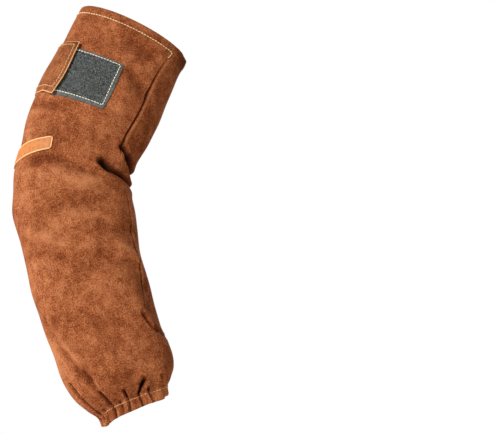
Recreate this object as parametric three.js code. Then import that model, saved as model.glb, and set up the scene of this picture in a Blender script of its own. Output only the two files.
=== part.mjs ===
// A welding sleeve of split cowhide, filled as if worn on a bent arm: an open leather tube with a turned hem,
// a gathered cuff, a hook-and-loop strap round the upper arm and a small leather label at the elbow.
// Millimetres, +Z up, the wearer's front towards -Y. The origin is the centre of the arm opening.
import * as THREE from "three";

// Driving dimensions
const sleeveLength = 566;
const armWidth = 166;
const armDepth = 102;
const cuffWidth = 100;
const cuffDepth = 62;
const leather = 1.6;
const clearance = 0.35;

// Turned edges, measured along the sleeve
const edgeSetback = 1.2;
const hemDepth = 13;
const casingDepth = 16;

// Loop patch: its size along the arm and round it, and its place from the rim and from the inner edge of the arm
const patchLength = 71;
const patchWidth = 86;
const patchThickness = 1.6;
const patchBelowRim = 67;
const patchFromInner = 97;

// Strap: its free end covers part of the patch
const strapLength = 75;
const strapReach = 104;
const strapThickness = 1.8;
const strapAbovePatch = 8;
const strapOverPatch = 18;
const strapLift = 2.6;
const hookThickness = 1.2;
const hookMargin = 5;

// Label
const labelLength = 17;
const labelReach = 76;
const labelThickness = 1.4;
const labelBelowRim = 190;
const labelFromInner = 143;
const labelTurn = 15;

// Cuff gathers
const gatherCount = 12;
const gatherDepth = 5;
const gatherRise = 70;
const gatherStart = 0.041;

// Folds
const foldDepth = 8;
const foldWidth = 8;

// Sections from the arm opening to the cuff edge. along: share of the sleeve's length. path: lean of the centre
// line to the outer side, degrees. slope: turn of the section in the front view. back: how far the tube leans
// back from the viewer. width and depth: shares of the arm opening's. cuff: how far it has drawn in to the cuff.
const sections = [
  { along: 0.0, path: 24.5, slope: 26.6, back: 19.5, width: 0.99, depth: 1.0, cuff: 0 },
  { along: 0.1, path: 24.5, slope: 24.4, back: 18.5, width: 1.0, depth: 1.01, cuff: 0 },
  { along: 0.2, path: 24.7, slope: 23.5, back: 17.5, width: 1.04, depth: 1.02, cuff: 0 },
  { along: 0.3, path: 21.5, slope: 16, back: 16.5, width: 0.995, depth: 1.02, cuff: 0 },
  { along: 0.35, path: 17, slope: 11, back: 16, width: 0.977, depth: 1.0, cuff: 0 },
  { along: 0.4, path: 5, slope: 5.8, back: 15.5, width: 0.966, depth: 0.99, cuff: 0 },
  { along: 0.45, path: -4, slope: 3.2, back: 15, width: 0.985, depth: 1.0, cuff: 0 },
  { along: 0.5, path: -9, slope: 0.7, back: 14.5, width: 1.005, depth: 1.0, cuff: 0 },
  { along: 0.6, path: -13.5, slope: -4.2, back: 13.3, width: 0.965, depth: 0.98, cuff: 0 },
  { along: 0.7, path: -17, slope: -9.1, back: 12.3, width: 0.95, depth: 0.95, cuff: 0 },
  { along: 0.8, path: -20, slope: -14, back: 11.2, width: 0.918, depth: 0.93, cuff: 0 },
  { along: 0.88, path: -22.5, slope: -17.5, back: 10.3, width: 0.915, depth: 0.93, cuff: 0 },
  { along: 0.93, path: -22.5, slope: -18.3, back: 8.5, width: 0.9, depth: 0.92, cuff: 0.15 },
  { along: 0.96, path: -24, slope: -21, back: 6.5, width: 0.88, depth: 0.9, cuff: 0.55 },
  { along: 0.976, path: -24, slope: -22.5, back: 4.5, width: 0.88, depth: 0.9, cuff: 0.9 },
  { along: 1.0, path: -8, slope: -23.5, back: 3, width: 0.88, depth: 0.9, cuff: 1 },
];

// Folds pressed into the leather (depth over 0) and ridges (depth under 0). Each runs on a line from one place to
// another, both as along the sleeve and round it from the arm's inner edge over the front. width and depth are
// shares of foldWidth and foldDepth, bow is how far the middle of the line hangs down, a share of its length.
const folds = [
  { name: "inner elbow, lower", from: [0.371, 0.152], to: [0.42, -0.003], width: 1.15, depth: 1.0, bow: 0 },
  { name: "inner elbow, upper", from: [0.318, 0.108], to: [0.36, -0.015], width: 1.0, depth: 0.8, bow: 0 },
  { name: "inner elbow, behind", from: [0.375, -0.02], to: [0.355, -0.16], width: 1.15, depth: 0.8, bow: 0 },
  { name: "inner elbow, low behind", from: [0.425, -0.01], to: [0.41, -0.12], width: 1.1, depth: 0.5, bow: 0 },
  { name: "elbow band", from: [0.397, 0.42], to: [0.412, 0.18], width: 1.1, depth: 0.3, bow: -0.06 },
  { name: "elbow band behind", from: [0.4, -0.42], to: [0.39, -0.2], width: 1.2, depth: 0.3, bow: 0 },
  { name: "under the strap", from: [0.249, 0.46], to: [0.257, 0.35], width: 0.7, depth: 0.35, bow: 0 },
  { name: "lip under the strap", from: [0.262, 0.44], to: [0.276, 0.33], width: 0.6, depth: -0.15, bow: 0 },
  { name: "dent by the hem", from: [0.072, 0.22], to: [0.071, 0.17], width: 1.5, depth: 0.3, bow: 0 },
  { name: "fold by the seam", from: [0.125, 0.17], to: [0.17, 0.118], width: 0.9, depth: 0.35, bow: 0 },
  { name: "forearm hollow", from: [0.5, 0.25], to: [0.465, 0.15], width: 2.2, depth: 0.25, bow: 0 },
  { name: "forearm ridge", from: [0.566, 0.39], to: [0.62, 0.19], width: 1.1, depth: -0.25, bow: 0 },
  { name: "under the ridge", from: [0.588, 0.38], to: [0.612, 0.29], width: 1.0, depth: 0.25, bow: 0 },
  { name: "forearm dent", from: [0.542, 0.16], to: [0.566, 0.05], width: 1.8, depth: 0.45, bow: 0 },
  { name: "lip of the dent", from: [0.592, 0.11], to: [0.632, 0.04], width: 0.9, depth: -0.3, bow: 0 },
  { name: "forearm band", from: [0.645, 0.21], to: [0.65, 0.06], width: 1.6, depth: 0.25, bow: 0 },
  { name: "hollow by the seam", from: [0.7, 0.045], to: [0.79, 0.05], width: 1.5, depth: 0.4, bow: 0 },
  { name: "long valley", from: [0.745, 0.45], to: [0.874, 0.378], width: 0.9, depth: 0.35, bow: 0 },
  { name: "ridge by the valley", from: [0.8, 0.395], to: [0.86, 0.355], width: 0.7, depth: -0.2, bow: 0 },
  { name: "dimple above the cuff", from: [0.873, 0.34], to: [0.885, 0.325], width: 1.1, depth: 0.3, bow: 0 },
  { name: "outer bag crease", from: [0.89, 0.435], to: [0.96, 0.413], width: 0.6, depth: 0.5, bow: 0 },
  { name: "front cuff crease", from: [0.913, 0.346], to: [0.965, 0.342], width: 0.6, depth: 0.5, bow: 0 },
  { name: "inner cuff crease", from: [0.925, 0.147], to: [0.962, 0.195], width: 0.6, depth: 0.6, bow: 0 },
  { name: "cuff crease behind", from: [0.92, 0.7], to: [0.962, 0.715], width: 0.7, depth: 0.5, bow: 0 },
];

// The seam: a shallow groove along the inner side, where the leather's edges are sewn together
const seamAround = 0.107;
const seamDepth = 1.2;
const seamWidth = 3;

// Where the turned edges begin and end, as shares along the sleeve
const hemTop = edgeSetback / sleeveLength;
const hemBottom = (edgeSetback + hemDepth) / sleeveLength;
const casingTop = 1 - (edgeSetback + casingDepth) / sleeveLength;
const casingBottom = 1 - edgeSetback / sleeveLength;

// Rows of the body's grid, closer together where the leather creases and gathers
const rowSteps = [
  { to: hemTop, steps: 1 },
  { to: hemBottom, steps: 1 },
  { to: 0.3, steps: 6 },
  { to: 0.46, steps: 10 },
  { to: 0.86, steps: 8 },
  { to: casingTop, steps: 7 },
  { to: casingBottom, steps: 3 },
  { to: 1, steps: 1 },
];
const roundSteps = 60;

function smoothStep(value) {
  const t = Math.min(Math.max(value, 0), 1);
  return t * t * (3 - 2 * t);
}

// A column of the section table at any place along the sleeve, on a smooth curve through its rows
function column(name, along) {
  const last = sections.length - 1;
  let row = 0;
  while (row < last - 1 && sections[row + 1].along <= along) row += 1;
  const a = sections[row];
  const b = sections[row + 1];
  const before = sections[Math.max(row - 1, 0)];
  const after = sections[Math.min(row + 2, last)];
  const span = b.along - a.along;
  const startSlope = ((b[name] - before[name]) / (b.along - before.along)) * span;
  const endSlope = ((after[name] - a[name]) / (after.along - a.along)) * span;
  const t = (along - a.along) / span;
  const rise = smoothStep(t);
  return (
    a[name] * (1 - rise) +
    b[name] * rise +
    startSlope * t * (1 - t) * (1 - t) -
    endSlope * t * t * (1 - t)
  );
}

// Direction of the centre line: down, swung to the outer side by path and forwards by back
function heading(along) {
  const path = THREE.MathUtils.degToRad(column("path", along));
  const back = THREE.MathUtils.degToRad(column("back", along));
  return new THREE.Vector3(
    -Math.sin(path) * Math.cos(back),
    -Math.sin(back),
    -Math.cos(path) * Math.cos(back),
  );
}

// The centre line, stepped down from the middle of the arm opening
const spineSteps = 284;
const spine = [new THREE.Vector3()];
for (let step = 0; step < spineSteps; step += 1) {
  const stride = heading((step + 0.5) / spineSteps).multiplyScalar(sleeveLength / spineSteps);
  spine.push(spine[step].clone().add(stride));
}

function centreAt(along) {
  const place = Math.min(Math.max(along, 0), 1) * spineSteps;
  const step = Math.min(Math.floor(place), spineSteps - 1);
  return spine[step].clone().lerp(spine[step + 1], place - step);
}

// One section: an ellipse with its long way across the arm and its short way from front to back
function sectionAt(along) {
  const slope = THREE.MathUtils.degToRad(column("slope", along));
  const back = THREE.MathUtils.degToRad(column("back", along));
  const cuff = Math.min(column("cuff", along), 1);
  const width = (1 - cuff) * column("width", along) * armWidth + cuff * cuffWidth;
  const depth = (1 - cuff) * column("depth", along) * armDepth + cuff * cuffDepth;
  return {
    centre: centreAt(along),
    across: new THREE.Vector3(Math.cos(slope), 0, -Math.sin(slope)),
    front: new THREE.Vector3(
      Math.sin(slope) * Math.sin(back),
      -Math.cos(back),
      Math.cos(slope) * Math.sin(back),
    ),
    halfWidth: width / 2,
    halfDepth: depth / 2,
  };
}

function perimeterAt(along) {
  const { halfWidth, halfDepth } = sectionAt(along);
  const uneven = (halfWidth - halfDepth) / (halfWidth + halfDepth);
  return Math.PI * (halfWidth + halfDepth) * (1 + (uneven * uneven) / 4);
}

// How far the leather is pressed in at a place: the folds' soft grooves, the seam and the cuff's gathers
function pressedIn(along, around) {
  const perimeter = perimeterAt(along);
  let depth = 0;
  for (const fold of folds) {
    const runAlong = (fold.to[0] - fold.from[0]) * sleeveLength;
    const runAround = (fold.to[1] - fold.from[1]) * perimeter;
    const run = Math.hypot(runAlong, runAround);
    const offAlong = (along - fold.from[0]) * sleeveLength;
    const turns = around - fold.from[1];
    const offAround = (turns - Math.round(turns)) * perimeter;
    const share = (offAlong * runAlong + offAround * runAround) / (run * run);
    const on = Math.min(Math.max(share, 0), 1);
    const hang = fold.bow * run * 4 * on * (1 - on);
    const away = Math.hypot(offAlong - on * runAlong - hang, offAround - on * runAround);
    depth += fold.depth * foldDepth * Math.exp(-((away / (fold.width * foldWidth)) ** 2));
  }
  const fromEdge = (1 - along) * sleeveLength;
  const drawn = smoothStep((gatherRise - fromEdge) / (gatherRise - casingDepth));
  const wave = 0.5 + 0.5 * Math.cos(2 * Math.PI * gatherCount * (around - gatherStart));
  const offSeam = (around - seamAround - Math.round(around - seamAround)) * perimeter;
  const groove = seamDepth * Math.exp(-((offSeam / seamWidth) ** 2));
  return depth + groove + drawn * gatherDepth * wave;
}

// A point of the leather: round the section at equal steps of length, lifted off it by the given height
function leatherPoint(along, around, lift) {
  const { centre, across, front, halfWidth, halfDepth } = sectionAt(along);
  const uneven = (halfWidth - halfDepth) / (halfWidth + halfDepth);
  const angle = 2 * Math.PI * around + (uneven / 2) * Math.sin(4 * Math.PI * around);
  const cos = Math.cos(angle);
  const sin = Math.sin(angle);
  const outward = across
    .clone()
    .multiplyScalar(cos / halfWidth)
    .addScaledVector(front, sin / halfDepth)
    .normalize();
  return centre
    .addScaledVector(across, halfWidth * cos)
    .addScaledVector(front, halfDepth * sin)
    .addScaledVector(outward, lift - pressedIn(along, around));
}

// A closed body from rings of points, the outer face's first and then the inner face's in the opposite order. The
// quads of both faces are split on the same diagonal, so that faces that lie on each other stay apart.
function closedRings(rings) {
  const count = rings[0].length;
  const positions = rings.flat().flatMap((point) => point.toArray());
  const faces = [];
  rings.forEach((ring, i) => {
    const next = (i + 1) % rings.length;
    ring.forEach((point, j) => {
      const k = (j + 1) % count;
      const a = i * count + j;
      const b = i * count + k;
      const c = next * count + j;
      const d = next * count + k;
      if (i < rings.length / 2) faces.push(a, b, c, b, d, c);
      else faces.push(a, b, d, a, d, c);
    });
  });
  return geometryFrom(positions, faces);
}

function geometryFrom(positions, faces) {
  const geometry = new THREE.BufferGeometry();
  geometry.setAttribute("position", new THREE.Float32BufferAttribute(positions, 3));
  geometry.setIndex(faces);
  geometry.computeVertexNormals();
  return geometry;
}

// A band of the tube between two places along it, with an outer and an inner face joined at both edges
function tubeBand(places, outerLift, innerLift) {
  const ring = (along, lift) =>
    Array.from({ length: roundSteps }, (_, j) => leatherPoint(along, seamAround + j / roundSteps, lift));
  const outside = places.map((along) => ring(along, outerLift));
  const inside = [...places].reverse().map((along) => ring(along, innerLift));
  return closedRings([...outside, ...inside]);
}

// A sheet that follows the leather: corner() turns its two shares, down and round, into a place and a lift
function sheet(rows, columns, thickness, corner) {
  const grid = [0, thickness].map((height) =>
    Array.from({ length: (rows + 1) * (columns + 1) }, (_, n) => {
      const down = Math.floor(n / (columns + 1)) / rows;
      const round = (n % (columns + 1)) / columns;
      const { along, around, lift } = corner(down, round);
      return leatherPoint(along, around, lift + height);
    }),
  );
  const positions = grid.flat().flatMap((point) => point.toArray());
  const width = columns + 1;
  const top = (rows + 1) * width;
  const faces = [];
  for (let row = 0; row < rows; row += 1) {
    for (let col = 0; col < columns; col += 1) {
      const a = row * width + col;
      const [b, c, d] = [a + 1, a + width, a + width + 1];
      faces.push(a, c, b, b, c, d);
      faces.push(a + top, b + top, c + top, b + top, d + top, c + top);
    }
  }
  const side = (a, b) => faces.push(a, b, a + top, b, b + top, a + top);
  for (let col = 0; col < columns; col += 1) {
    side(col, col + 1);
    side(rows * width + col + 1, rows * width + col);
  }
  for (let row = 0; row < rows; row += 1) {
    side((row + 1) * width, row * width);
    side(row * width + columns, (row + 1) * width + columns);
  }
  return geometryFrom(positions, faces);
}

// A rectangle on the leather, placed by its corner nearest the rim and the inner edge and turned on the leather by
// turn degrees. reach runs round the arm.
function laidOn(belowRim, fromInner, length, reach, turn = 0) {
  const upright = Math.cos(THREE.MathUtils.degToRad(turn));
  const aslant = Math.sin(THREE.MathUtils.degToRad(turn));
  return (down, round) => {
    const along = (belowRim + down * length * upright + round * reach * aslant) / sleeveLength;
    const placeRound = fromInner + round * reach * upright - down * length * aslant;
    return { along, around: placeRound / perimeterAt(along) };
  };
}

// The whole is turned so that the cuff is straight below the arm opening when seen from the side
const cuffCentre = spine[spineSteps];
const group = new THREE.Group();
group.rotation.x = Math.atan2(-cuffCentre.y, -cuffCentre.z);

function addPiece(name, geometry, colour, roughness) {
  const material = new THREE.MeshStandardMaterial({ color: colour, roughness, metalness: 0 });
  const mesh = new THREE.Mesh(geometry, material);
  mesh.name = name;
  group.add(mesh);
}

// Places spread evenly from one place to another
function spread(from, to, steps) {
  return Array.from({ length: steps + 1 }, (_, n) => from + ((to - from) * n) / steps);
}

function makeBody() {
  const places = [0];
  for (const { to, steps } of rowSteps) places.push(...spread(places.at(-1), to, steps).slice(1));
  addPiece("sleeve_body", tubeBand(places, 0, -leather), "#a05f3a", 0.95);
}

function makeTurnedEdges() {
  const outer = -leather - clearance;
  const inner = outer - leather;
  addPiece("arm_hem", tubeBand(spread(hemTop, hemBottom, 1), outer, inner), "#8f5533", 0.95);
  addPiece("cuff_turn", tubeBand(spread(casingTop, casingBottom, 3), outer, inner), "#8f5533", 0.95);
}

function makeLoopPatch() {
  const place = laidOn(patchBelowRim, patchFromInner, patchLength, patchWidth);
  const corner = (down, round) => ({ ...place(down, round), lift: clearance });
  addPiece("loop_patch", sheet(6, 12, patchThickness, corner), "#515452", 1);
}

// The strap lies on the sleeve behind and rises over the loop patch and the hook tape at its free end
function makeStrap() {
  const freeEnd = patchFromInner + patchWidth - strapOverPatch;
  const top = patchBelowRim - strapAbovePatch;
  const place = laidOn(top, freeEnd, strapLength, strapReach);
  const patchTop = clearance + patchThickness;
  const overTape = patchTop + clearance + hookThickness + clearance;
  const corner = (down, round) => {
    const pastPatch = round * strapReach - strapOverPatch;
    const settle = smoothStep(pastPatch / strapOverPatch);
    const curl = strapLift * (1 - smoothStep((round * strapReach) / strapOverPatch));
    return { ...place(down, round), lift: overTape * (1 - settle) + clearance * settle + curl };
  };
  addPiece("strap", sheet(6, 20, strapThickness, corner), "#af6c41", 0.9);
  const tape = laidOn(
    top + 2 * hookMargin,
    freeEnd + hookMargin,
    strapLength - 4 * hookMargin,
    strapOverPatch - 2 * hookMargin,
  );
  const tapeCorner = (down, round) => ({ ...tape(down, round), lift: patchTop + clearance });
  addPiece("hook_patch", sheet(5, 3, hookThickness, tapeCorner), "#3b3d3c", 0.8);
}

function makeLabel() {
  const place = laidOn(labelBelowRim, labelFromInner, labelLength, labelReach, labelTurn);
  const corner = (down, round) => ({ ...place(down, round), lift: clearance });
  addPiece("label", sheet(2, 14, labelThickness, corner), "#ec9f62", 0.6);
}

makeBody();
makeTurnedEdges();
makeLoopPatch();
makeStrap();
makeLabel();

export default group;
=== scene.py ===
"""Dresses a welding sleeve of split cowhide: napped leather, a loop patch with its strap, a bare label and
every line of stitches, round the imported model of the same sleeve."""

import bpy
import numpy as np
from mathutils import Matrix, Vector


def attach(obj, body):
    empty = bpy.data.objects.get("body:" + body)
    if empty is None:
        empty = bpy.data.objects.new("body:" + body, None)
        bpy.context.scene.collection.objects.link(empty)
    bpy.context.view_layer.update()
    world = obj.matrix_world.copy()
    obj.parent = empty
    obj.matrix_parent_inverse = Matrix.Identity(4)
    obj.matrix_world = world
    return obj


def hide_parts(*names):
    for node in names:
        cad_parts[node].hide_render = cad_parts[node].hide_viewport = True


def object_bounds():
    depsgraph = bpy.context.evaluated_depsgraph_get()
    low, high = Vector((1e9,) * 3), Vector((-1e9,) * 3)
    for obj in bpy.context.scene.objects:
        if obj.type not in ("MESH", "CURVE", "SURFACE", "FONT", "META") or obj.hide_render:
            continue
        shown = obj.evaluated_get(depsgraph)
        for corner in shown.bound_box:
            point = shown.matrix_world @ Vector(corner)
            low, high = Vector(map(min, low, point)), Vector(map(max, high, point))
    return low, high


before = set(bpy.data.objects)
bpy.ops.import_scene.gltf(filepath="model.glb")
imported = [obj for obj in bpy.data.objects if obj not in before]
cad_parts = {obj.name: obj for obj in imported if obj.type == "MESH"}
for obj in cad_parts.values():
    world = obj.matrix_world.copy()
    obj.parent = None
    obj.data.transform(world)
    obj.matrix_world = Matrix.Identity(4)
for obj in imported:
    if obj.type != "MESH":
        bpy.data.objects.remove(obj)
CAD_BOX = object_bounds()

bl_info = {
    "name": "Welding Sleeve",
    "version": (1, 0, 0),
    "blender": (4, 5, 0),
    "location": "View3D > Sidebar > Sleeve",
    "description": "Makes a worn welding sleeve with its patch, strap, label and stitches",
    "category": "Object",
}

BODY = "root"
MM = 0.001

# Sizes that the sleeve shares with its construction: lengths in metres, angles in degrees
SLEEVE_LENGTH = 566 * MM
ARM_WIDTH = 166 * MM
ARM_DEPTH = 102 * MM
CUFF_WIDTH = 100 * MM
CUFF_DEPTH = 62 * MM
LEATHER = 1.6 * MM
CLEARANCE = 0.35 * MM
HEM_DEPTH = 13 * MM
CASING_DEPTH = 16 * MM
PATCH_LENGTH = 71 * MM
PATCH_WIDTH = 86 * MM
PATCH_BELOW_RIM = 67 * MM
PATCH_FROM_INNER = 97 * MM
PATCH_THICKNESS = 1.6 * MM
STRAP_LENGTH = 75 * MM
STRAP_REACH = 104 * MM
STRAP_THICKNESS = 1.8 * MM
STRAP_ABOVE_PATCH = 8 * MM
STRAP_OVER_PATCH = 18 * MM
STRAP_LIFT = 2.6 * MM
HOOK_THICKNESS = 1.2 * MM
LABEL_LENGTH = 17 * MM
LABEL_REACH = 76 * MM
LABEL_THICKNESS = 1.4 * MM
LABEL_BELOW_RIM = 190 * MM
LABEL_FROM_INNER = 143 * MM
LABEL_TURN = 15
GATHER_COUNT = 12
GATHER_DEPTH = 5 * MM
GATHER_RISE = 70 * MM
GATHER_START = 0.041
FOLD_DEPTH = 8 * MM
FOLD_WIDTH = 8 * MM

# Sizes of the finer things that only this script shapes
DROOP = 5.5 * MM
DROOP_AROUND = 0.44
FRONT_DROOP = 2.5 * MM
SLACK_DEPTH = 0.27 * MM
SLACK_WAVES = 14
SEAM_STEP = 1.3 * MM
SEAM_CRACK = 1.6 * MM
SEAM_LIP = 0.7 * MM
CLOTH_THICKNESS = 1.1 * MM

# The pile's yarn, the step from one loop to the next, and each loop's height and half of its width
YARN = 0.42 * MM
LOOP_PITCH = 1.5 * MM
LOOP_RISE = 0.75 * MM
LOOP_REACH = 0.7 * MM

# Where the leather starts to turn in at the arm opening and at the cuff, as shares along the sleeve
RIM_TURN = 0.006
CUFF_TURN = 0.996

# How far the stitches are from the top, outer, bottom and inner edges of the patch and of the strap, and how
# far the patch's inner line of them bows
PATCH_INSETS = (2.8 * MM, 4.5 * MM, 5.4 * MM, 4.0 * MM)
PATCH_BOW = 1.8 * MM
STRAP_INSETS = (5.0 * MM, 5.0 * MM, 7.5 * MM, 4.5 * MM)

# Where the lapped seam runs, from the arm opening to the cuff, and how open its line is
SEAM_COLUMNS = ("along", "around", "open")
SEAM = np.array([
    (0.0, 0.088, 0.1),
    (0.03, 0.094, 0.2),
    (0.062, 0.107, 0.5),
    (0.1, 0.112, 0.85),
    (0.14, 0.112, 0.9),
    (0.2, 0.114, 1.0),
    (0.27, 0.115, 1.1),
    (0.315, 0.112, 1.1),
    (0.345, 0.1, 0.2),
    (0.4, 0.07, 0.0),
    (0.46, 0.048, 0.4),
    (0.6, 0.043, 0.6),
    (0.7, 0.048, 0.6),
    (0.76, 0.066, 0.4),
    (0.8, 0.068, 0.0),
    (1.0, 0.045, 0.0),
])

# Sections from the arm opening to the cuff: share along the sleeve, lean of the centre line to the outer
# side, turn of the section and lean back in degrees, width and depth as shares, and how far it is drawn in to
# the cuff
SECTION_COLUMNS = ("along", "path", "slope", "back", "width", "depth", "cuff")
SECTIONS = np.array([
    (0.0, 24.5, 26.6, 19.5, 0.99, 1.0, 0),
    (0.1, 24.5, 24.4, 18.5, 1.0, 1.01, 0),
    (0.2, 24.7, 23.5, 17.5, 1.04, 1.02, 0),
    (0.3, 21.5, 16, 16.5, 0.995, 1.02, 0),
    (0.35, 17, 11, 16, 0.977, 1.0, 0),
    (0.4, 5, 5.8, 15.5, 0.966, 0.99, 0),
    (0.45, -4, 3.2, 15, 0.985, 1.0, 0),
    (0.5, -9, 0.7, 14.5, 1.005, 1.0, 0),
    (0.6, -13.5, -4.2, 13.3, 0.965, 0.98, 0),
    (0.7, -17, -9.1, 12.3, 0.95, 0.95, 0),
    (0.8, -20, -14, 11.2, 0.918, 0.93, 0),
    (0.88, -22.5, -17.5, 10.3, 0.915, 0.93, 0),
    (0.93, -22.5, -18.3, 8.5, 0.9, 0.92, 0.15),
    (0.96, -24, -21, 6.5, 0.88, 0.9, 0.55),
    (0.976, -24, -22.5, 4.5, 0.88, 0.9, 0.9),
    (1.0, -8, -23.5, 3, 0.88, 0.9, 1),
])

# Folds: width and depth as shares of FOLD_WIDTH and FOLD_DEPTH (a depth under 0 is a ridge), how high its
# lips stand as a share of its depth, and the places (along, around) that its line passes
# A fold's depth also sets its painted shade, and a ridge's its painted highlight
FOLDS = (
    ("inner elbow, lower", 0.55, 1.3, 0.4,
     ((0.377, 0.152), (0.392, 0.121), (0.401, 0.068), (0.42, 0.0), (0.425, -0.03))),
    ("blot of the lower fold", 0.9, 0.8, 0.1, ((0.374, 0.151), (0.388, 0.13))),
    ("inner elbow, upper", 0.5, 1.2, 0.4,
     ((0.316, 0.108), (0.332, 0.08), (0.348, 0.047), (0.362, 0.026), (0.384, 0.0))),
    ("wedge of the upper fold", 0.9, 1.2, 0.1, ((0.34, 0.064), (0.354, 0.04), (0.382, 0.004))),
    ("upper elbow, behind", 0.8, 0.9, 0.2, ((0.384, 0.0), (0.38, -0.05), (0.355, -0.16))),
    ("lower elbow, behind", 0.8, 0.6, 0.2, ((0.425, -0.03), (0.41, -0.12))),
    ("elbow band", 0.85, 0.58, 0.15,
     ((0.393, 0.375), (0.387, 0.34), (0.388, 0.292), (0.401, 0.236), (0.406, 0.165))),
    ("swelling under the band", 1.7, -0.3, 0, ((0.425, 0.38), (0.43, 0.26), (0.437, 0.16))),
    ("elbow band behind", 1.2, 0.35, 0, ((0.4, -0.42), (0.388, -0.3), (0.39, -0.2))),
    ("under the strap", 0.6, 0.55, 0.3, ((0.264, 0.47), (0.266, 0.37))),
    ("ridge under the strap", 0.7, -0.35, 0, ((0.283, 0.45), (0.283, 0.32))),
    ("hollow under the patch", 1.5, 0.3, 0, ((0.292, 0.36), (0.29, 0.24))),
    ("dimple by the hem", 1.5, 0.6, 0, ((0.062, 0.23), (0.066, 0.17))),
    ("dimple over the patch", 1.6, 0.4, 0, ((0.07, 0.35), (0.074, 0.3))),
    ("fold by the seam", 1.3, 0.62, 0.1, ((0.122, 0.195), (0.138, 0.155), (0.15, 0.13))),
    ("swelling by the patch", 1.6, -0.3, 0, ((0.18, 0.19), (0.23, 0.17))),
    ("kink of the rim", 0.6, -0.2, 0, ((0.0, 0.0), (0.022, 0.0))),
    ("flat before the kink", 0.8, 0.14, 0, ((0.0, 0.035), (0.03, 0.035))),
    ("forearm hollow", 2.2, 0.48, 0, ((0.5, 0.3), (0.465, 0.15))),
    ("forearm swelling", 2.2, -0.4, 0, ((0.515, 0.25), (0.524, 0.18))),
    ("forearm ridge", 0.9, -0.62, 0, ((0.556, 0.4), (0.577, 0.33), (0.596, 0.256), (0.6, 0.2))),
    ("under the ridge", 0.9, 0.5, 0, ((0.588, 0.42), (0.605, 0.365), (0.618, 0.31))),
    ("forearm dent", 1.3, 0.52, 0, ((0.548, 0.165), (0.557, 0.1), (0.552, 0.05))),
    ("lip of the dent", 0.8, -0.4, 0, ((0.592, 0.11), (0.614, 0.069), (0.636, 0.045))),
    ("forearm band", 1.0, 0.44, 0, ((0.655, 0.27), (0.642, 0.19), (0.632, 0.135), (0.656, 0.066))),
    ("hollow by the seam", 1.3, 0.5, 0, ((0.7, 0.045), (0.77, 0.05))),
    ("low forearm hollow", 2.6, 0.3, 0, ((0.77, 0.33), (0.76, 0.2))),
    ("end of the strip", 0.36, 0.8, 0.4, ((0.785, 0.088), (0.808, 0.08), (0.827, 0.067), (0.854, 0.0))),
    ("long valley", 0.7, 0.5, 0.3,
     ((0.738, 0.451), (0.808, 0.43), (0.845, 0.405), (0.882, 0.38), (0.905, 0.356))),
    ("ridge by the valley", 0.5, -0.5, 0, ((0.799, 0.4), (0.838, 0.377), (0.859, 0.358))),
    ("outer bag crease", 0.3, 1.0, 0.35, ((0.9, 0.437), (0.936, 0.425), (0.955, 0.42), (0.985, 0.416))),
    ("front cuff crease", 0.32, 1.0, 0.45, ((0.94, 0.346), (0.953, 0.342), (0.975, 0.343), (0.998, 0.352))),
    ("start of the front crease", 0.5, 0.42, 0.4, ((0.886, 0.364), (0.905, 0.357), (0.932, 0.35))),
    ("cuff crease a", 0.22, 1.2, 0.45, ((0.953, 0.256), (0.97, 0.254), (0.998, 0.266))),
    ("blot of crease b", 0.5, 0.8, 0.2, ((0.944, 0.16), (0.952, 0.175))),
    ("cuff crease b", 0.24, 1.3, 0.5, ((0.944, 0.16), (0.967, 0.192), (0.998, 0.186))),
    ("cuff crease c", 0.22, 1.2, 0.45, ((0.965, 0.145), (0.975, 0.141), (0.998, 0.124))),
    ("cuff crease d", 0.22, 0.6, 0.3, ((0.942, 0.088), (0.967, 0.06), (0.99, 0.055))),
    ("cuff crease e", 0.24, 0.6, 0.3, ((0.972, 0.3), (0.998, 0.31))),
    ("cuff crease f", 0.25, 0.6, 0.3, ((0.975, 0.466), (0.998, 0.457))),
    ("cuff crease g", 0.2, 0.6, 0.3, ((0.97, 0.39), (0.998, 0.395))),
    ("cuff crease behind a", 0.35, 0.8, 0.3, ((0.93, 0.57), (0.965, 0.56), (0.998, 0.56))),
    ("cuff crease behind b", 0.4, 0.8, 0.3, ((0.915, 0.69), (0.95, 0.71), (0.998, 0.715))),
    ("cuff crease behind c", 0.3, 0.7, 0.3, ((0.94, 0.78), (0.998, 0.79))),
    ("cuff crease behind d", 0.4, 0.8, 0.3, ((0.925, 0.86), (0.998, 0.845))),
    ("cuff crease behind e", 0.3, 0.7, 0.3, ((0.945, 0.94), (0.998, 0.93))),
)


def smooth_step(value):
    """Rises from 0 to 1 as value does, level at both ends: 3 t squared less 2 t cubed."""
    t = np.clip(value, 0, 1)
    return t * t * (3 - 2 * t)


def bell(off, width):
    """A bell curve, 1 where off is 0: e to minus the square of off divided by width."""
    return np.exp(-((off / width) ** 2))


def column(name, along):
    """One column of the section table at any place: a cubic through the rows, its slope at each row that of
    the line between the rows before and after."""
    rows = SECTIONS[:, SECTION_COLUMNS.index(name)]
    places = SECTIONS[:, 0]
    last = len(places) - 1
    row = np.clip(np.searchsorted(places, along, side="right") - 1, 0, last - 1)
    before = np.maximum(row - 1, 0)
    after = np.minimum(row + 2, last)
    span = places[row + 1] - places[row]
    start = (rows[row + 1] - rows[before]) / (places[row + 1] - places[before]) * span
    end = (rows[after] - rows[row]) / (places[after] - places[row]) * span
    t = (along - places[row]) / span
    rise = smooth_step(t)
    return rows[row] * (1 - rise) + rows[row + 1] * rise + start * t * (1 - t) ** 2 - end * t * t * (1 - t)


def centre_line():
    """Points of the centre line: equal strides down, each swung aside by path and forwards by back, and
    summed."""
    steps = 284
    middles = (np.arange(steps) + 0.5) / steps
    path = np.radians(column("path", middles))
    back = np.radians(column("back", middles))
    strides = np.stack([-np.sin(path) * np.cos(back), -np.sin(back), -np.cos(path) * np.cos(back)], -1)
    return np.vstack([np.zeros(3), np.cumsum(strides, 0) * SLEEVE_LENGTH / steps])


SPINE = centre_line()
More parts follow.
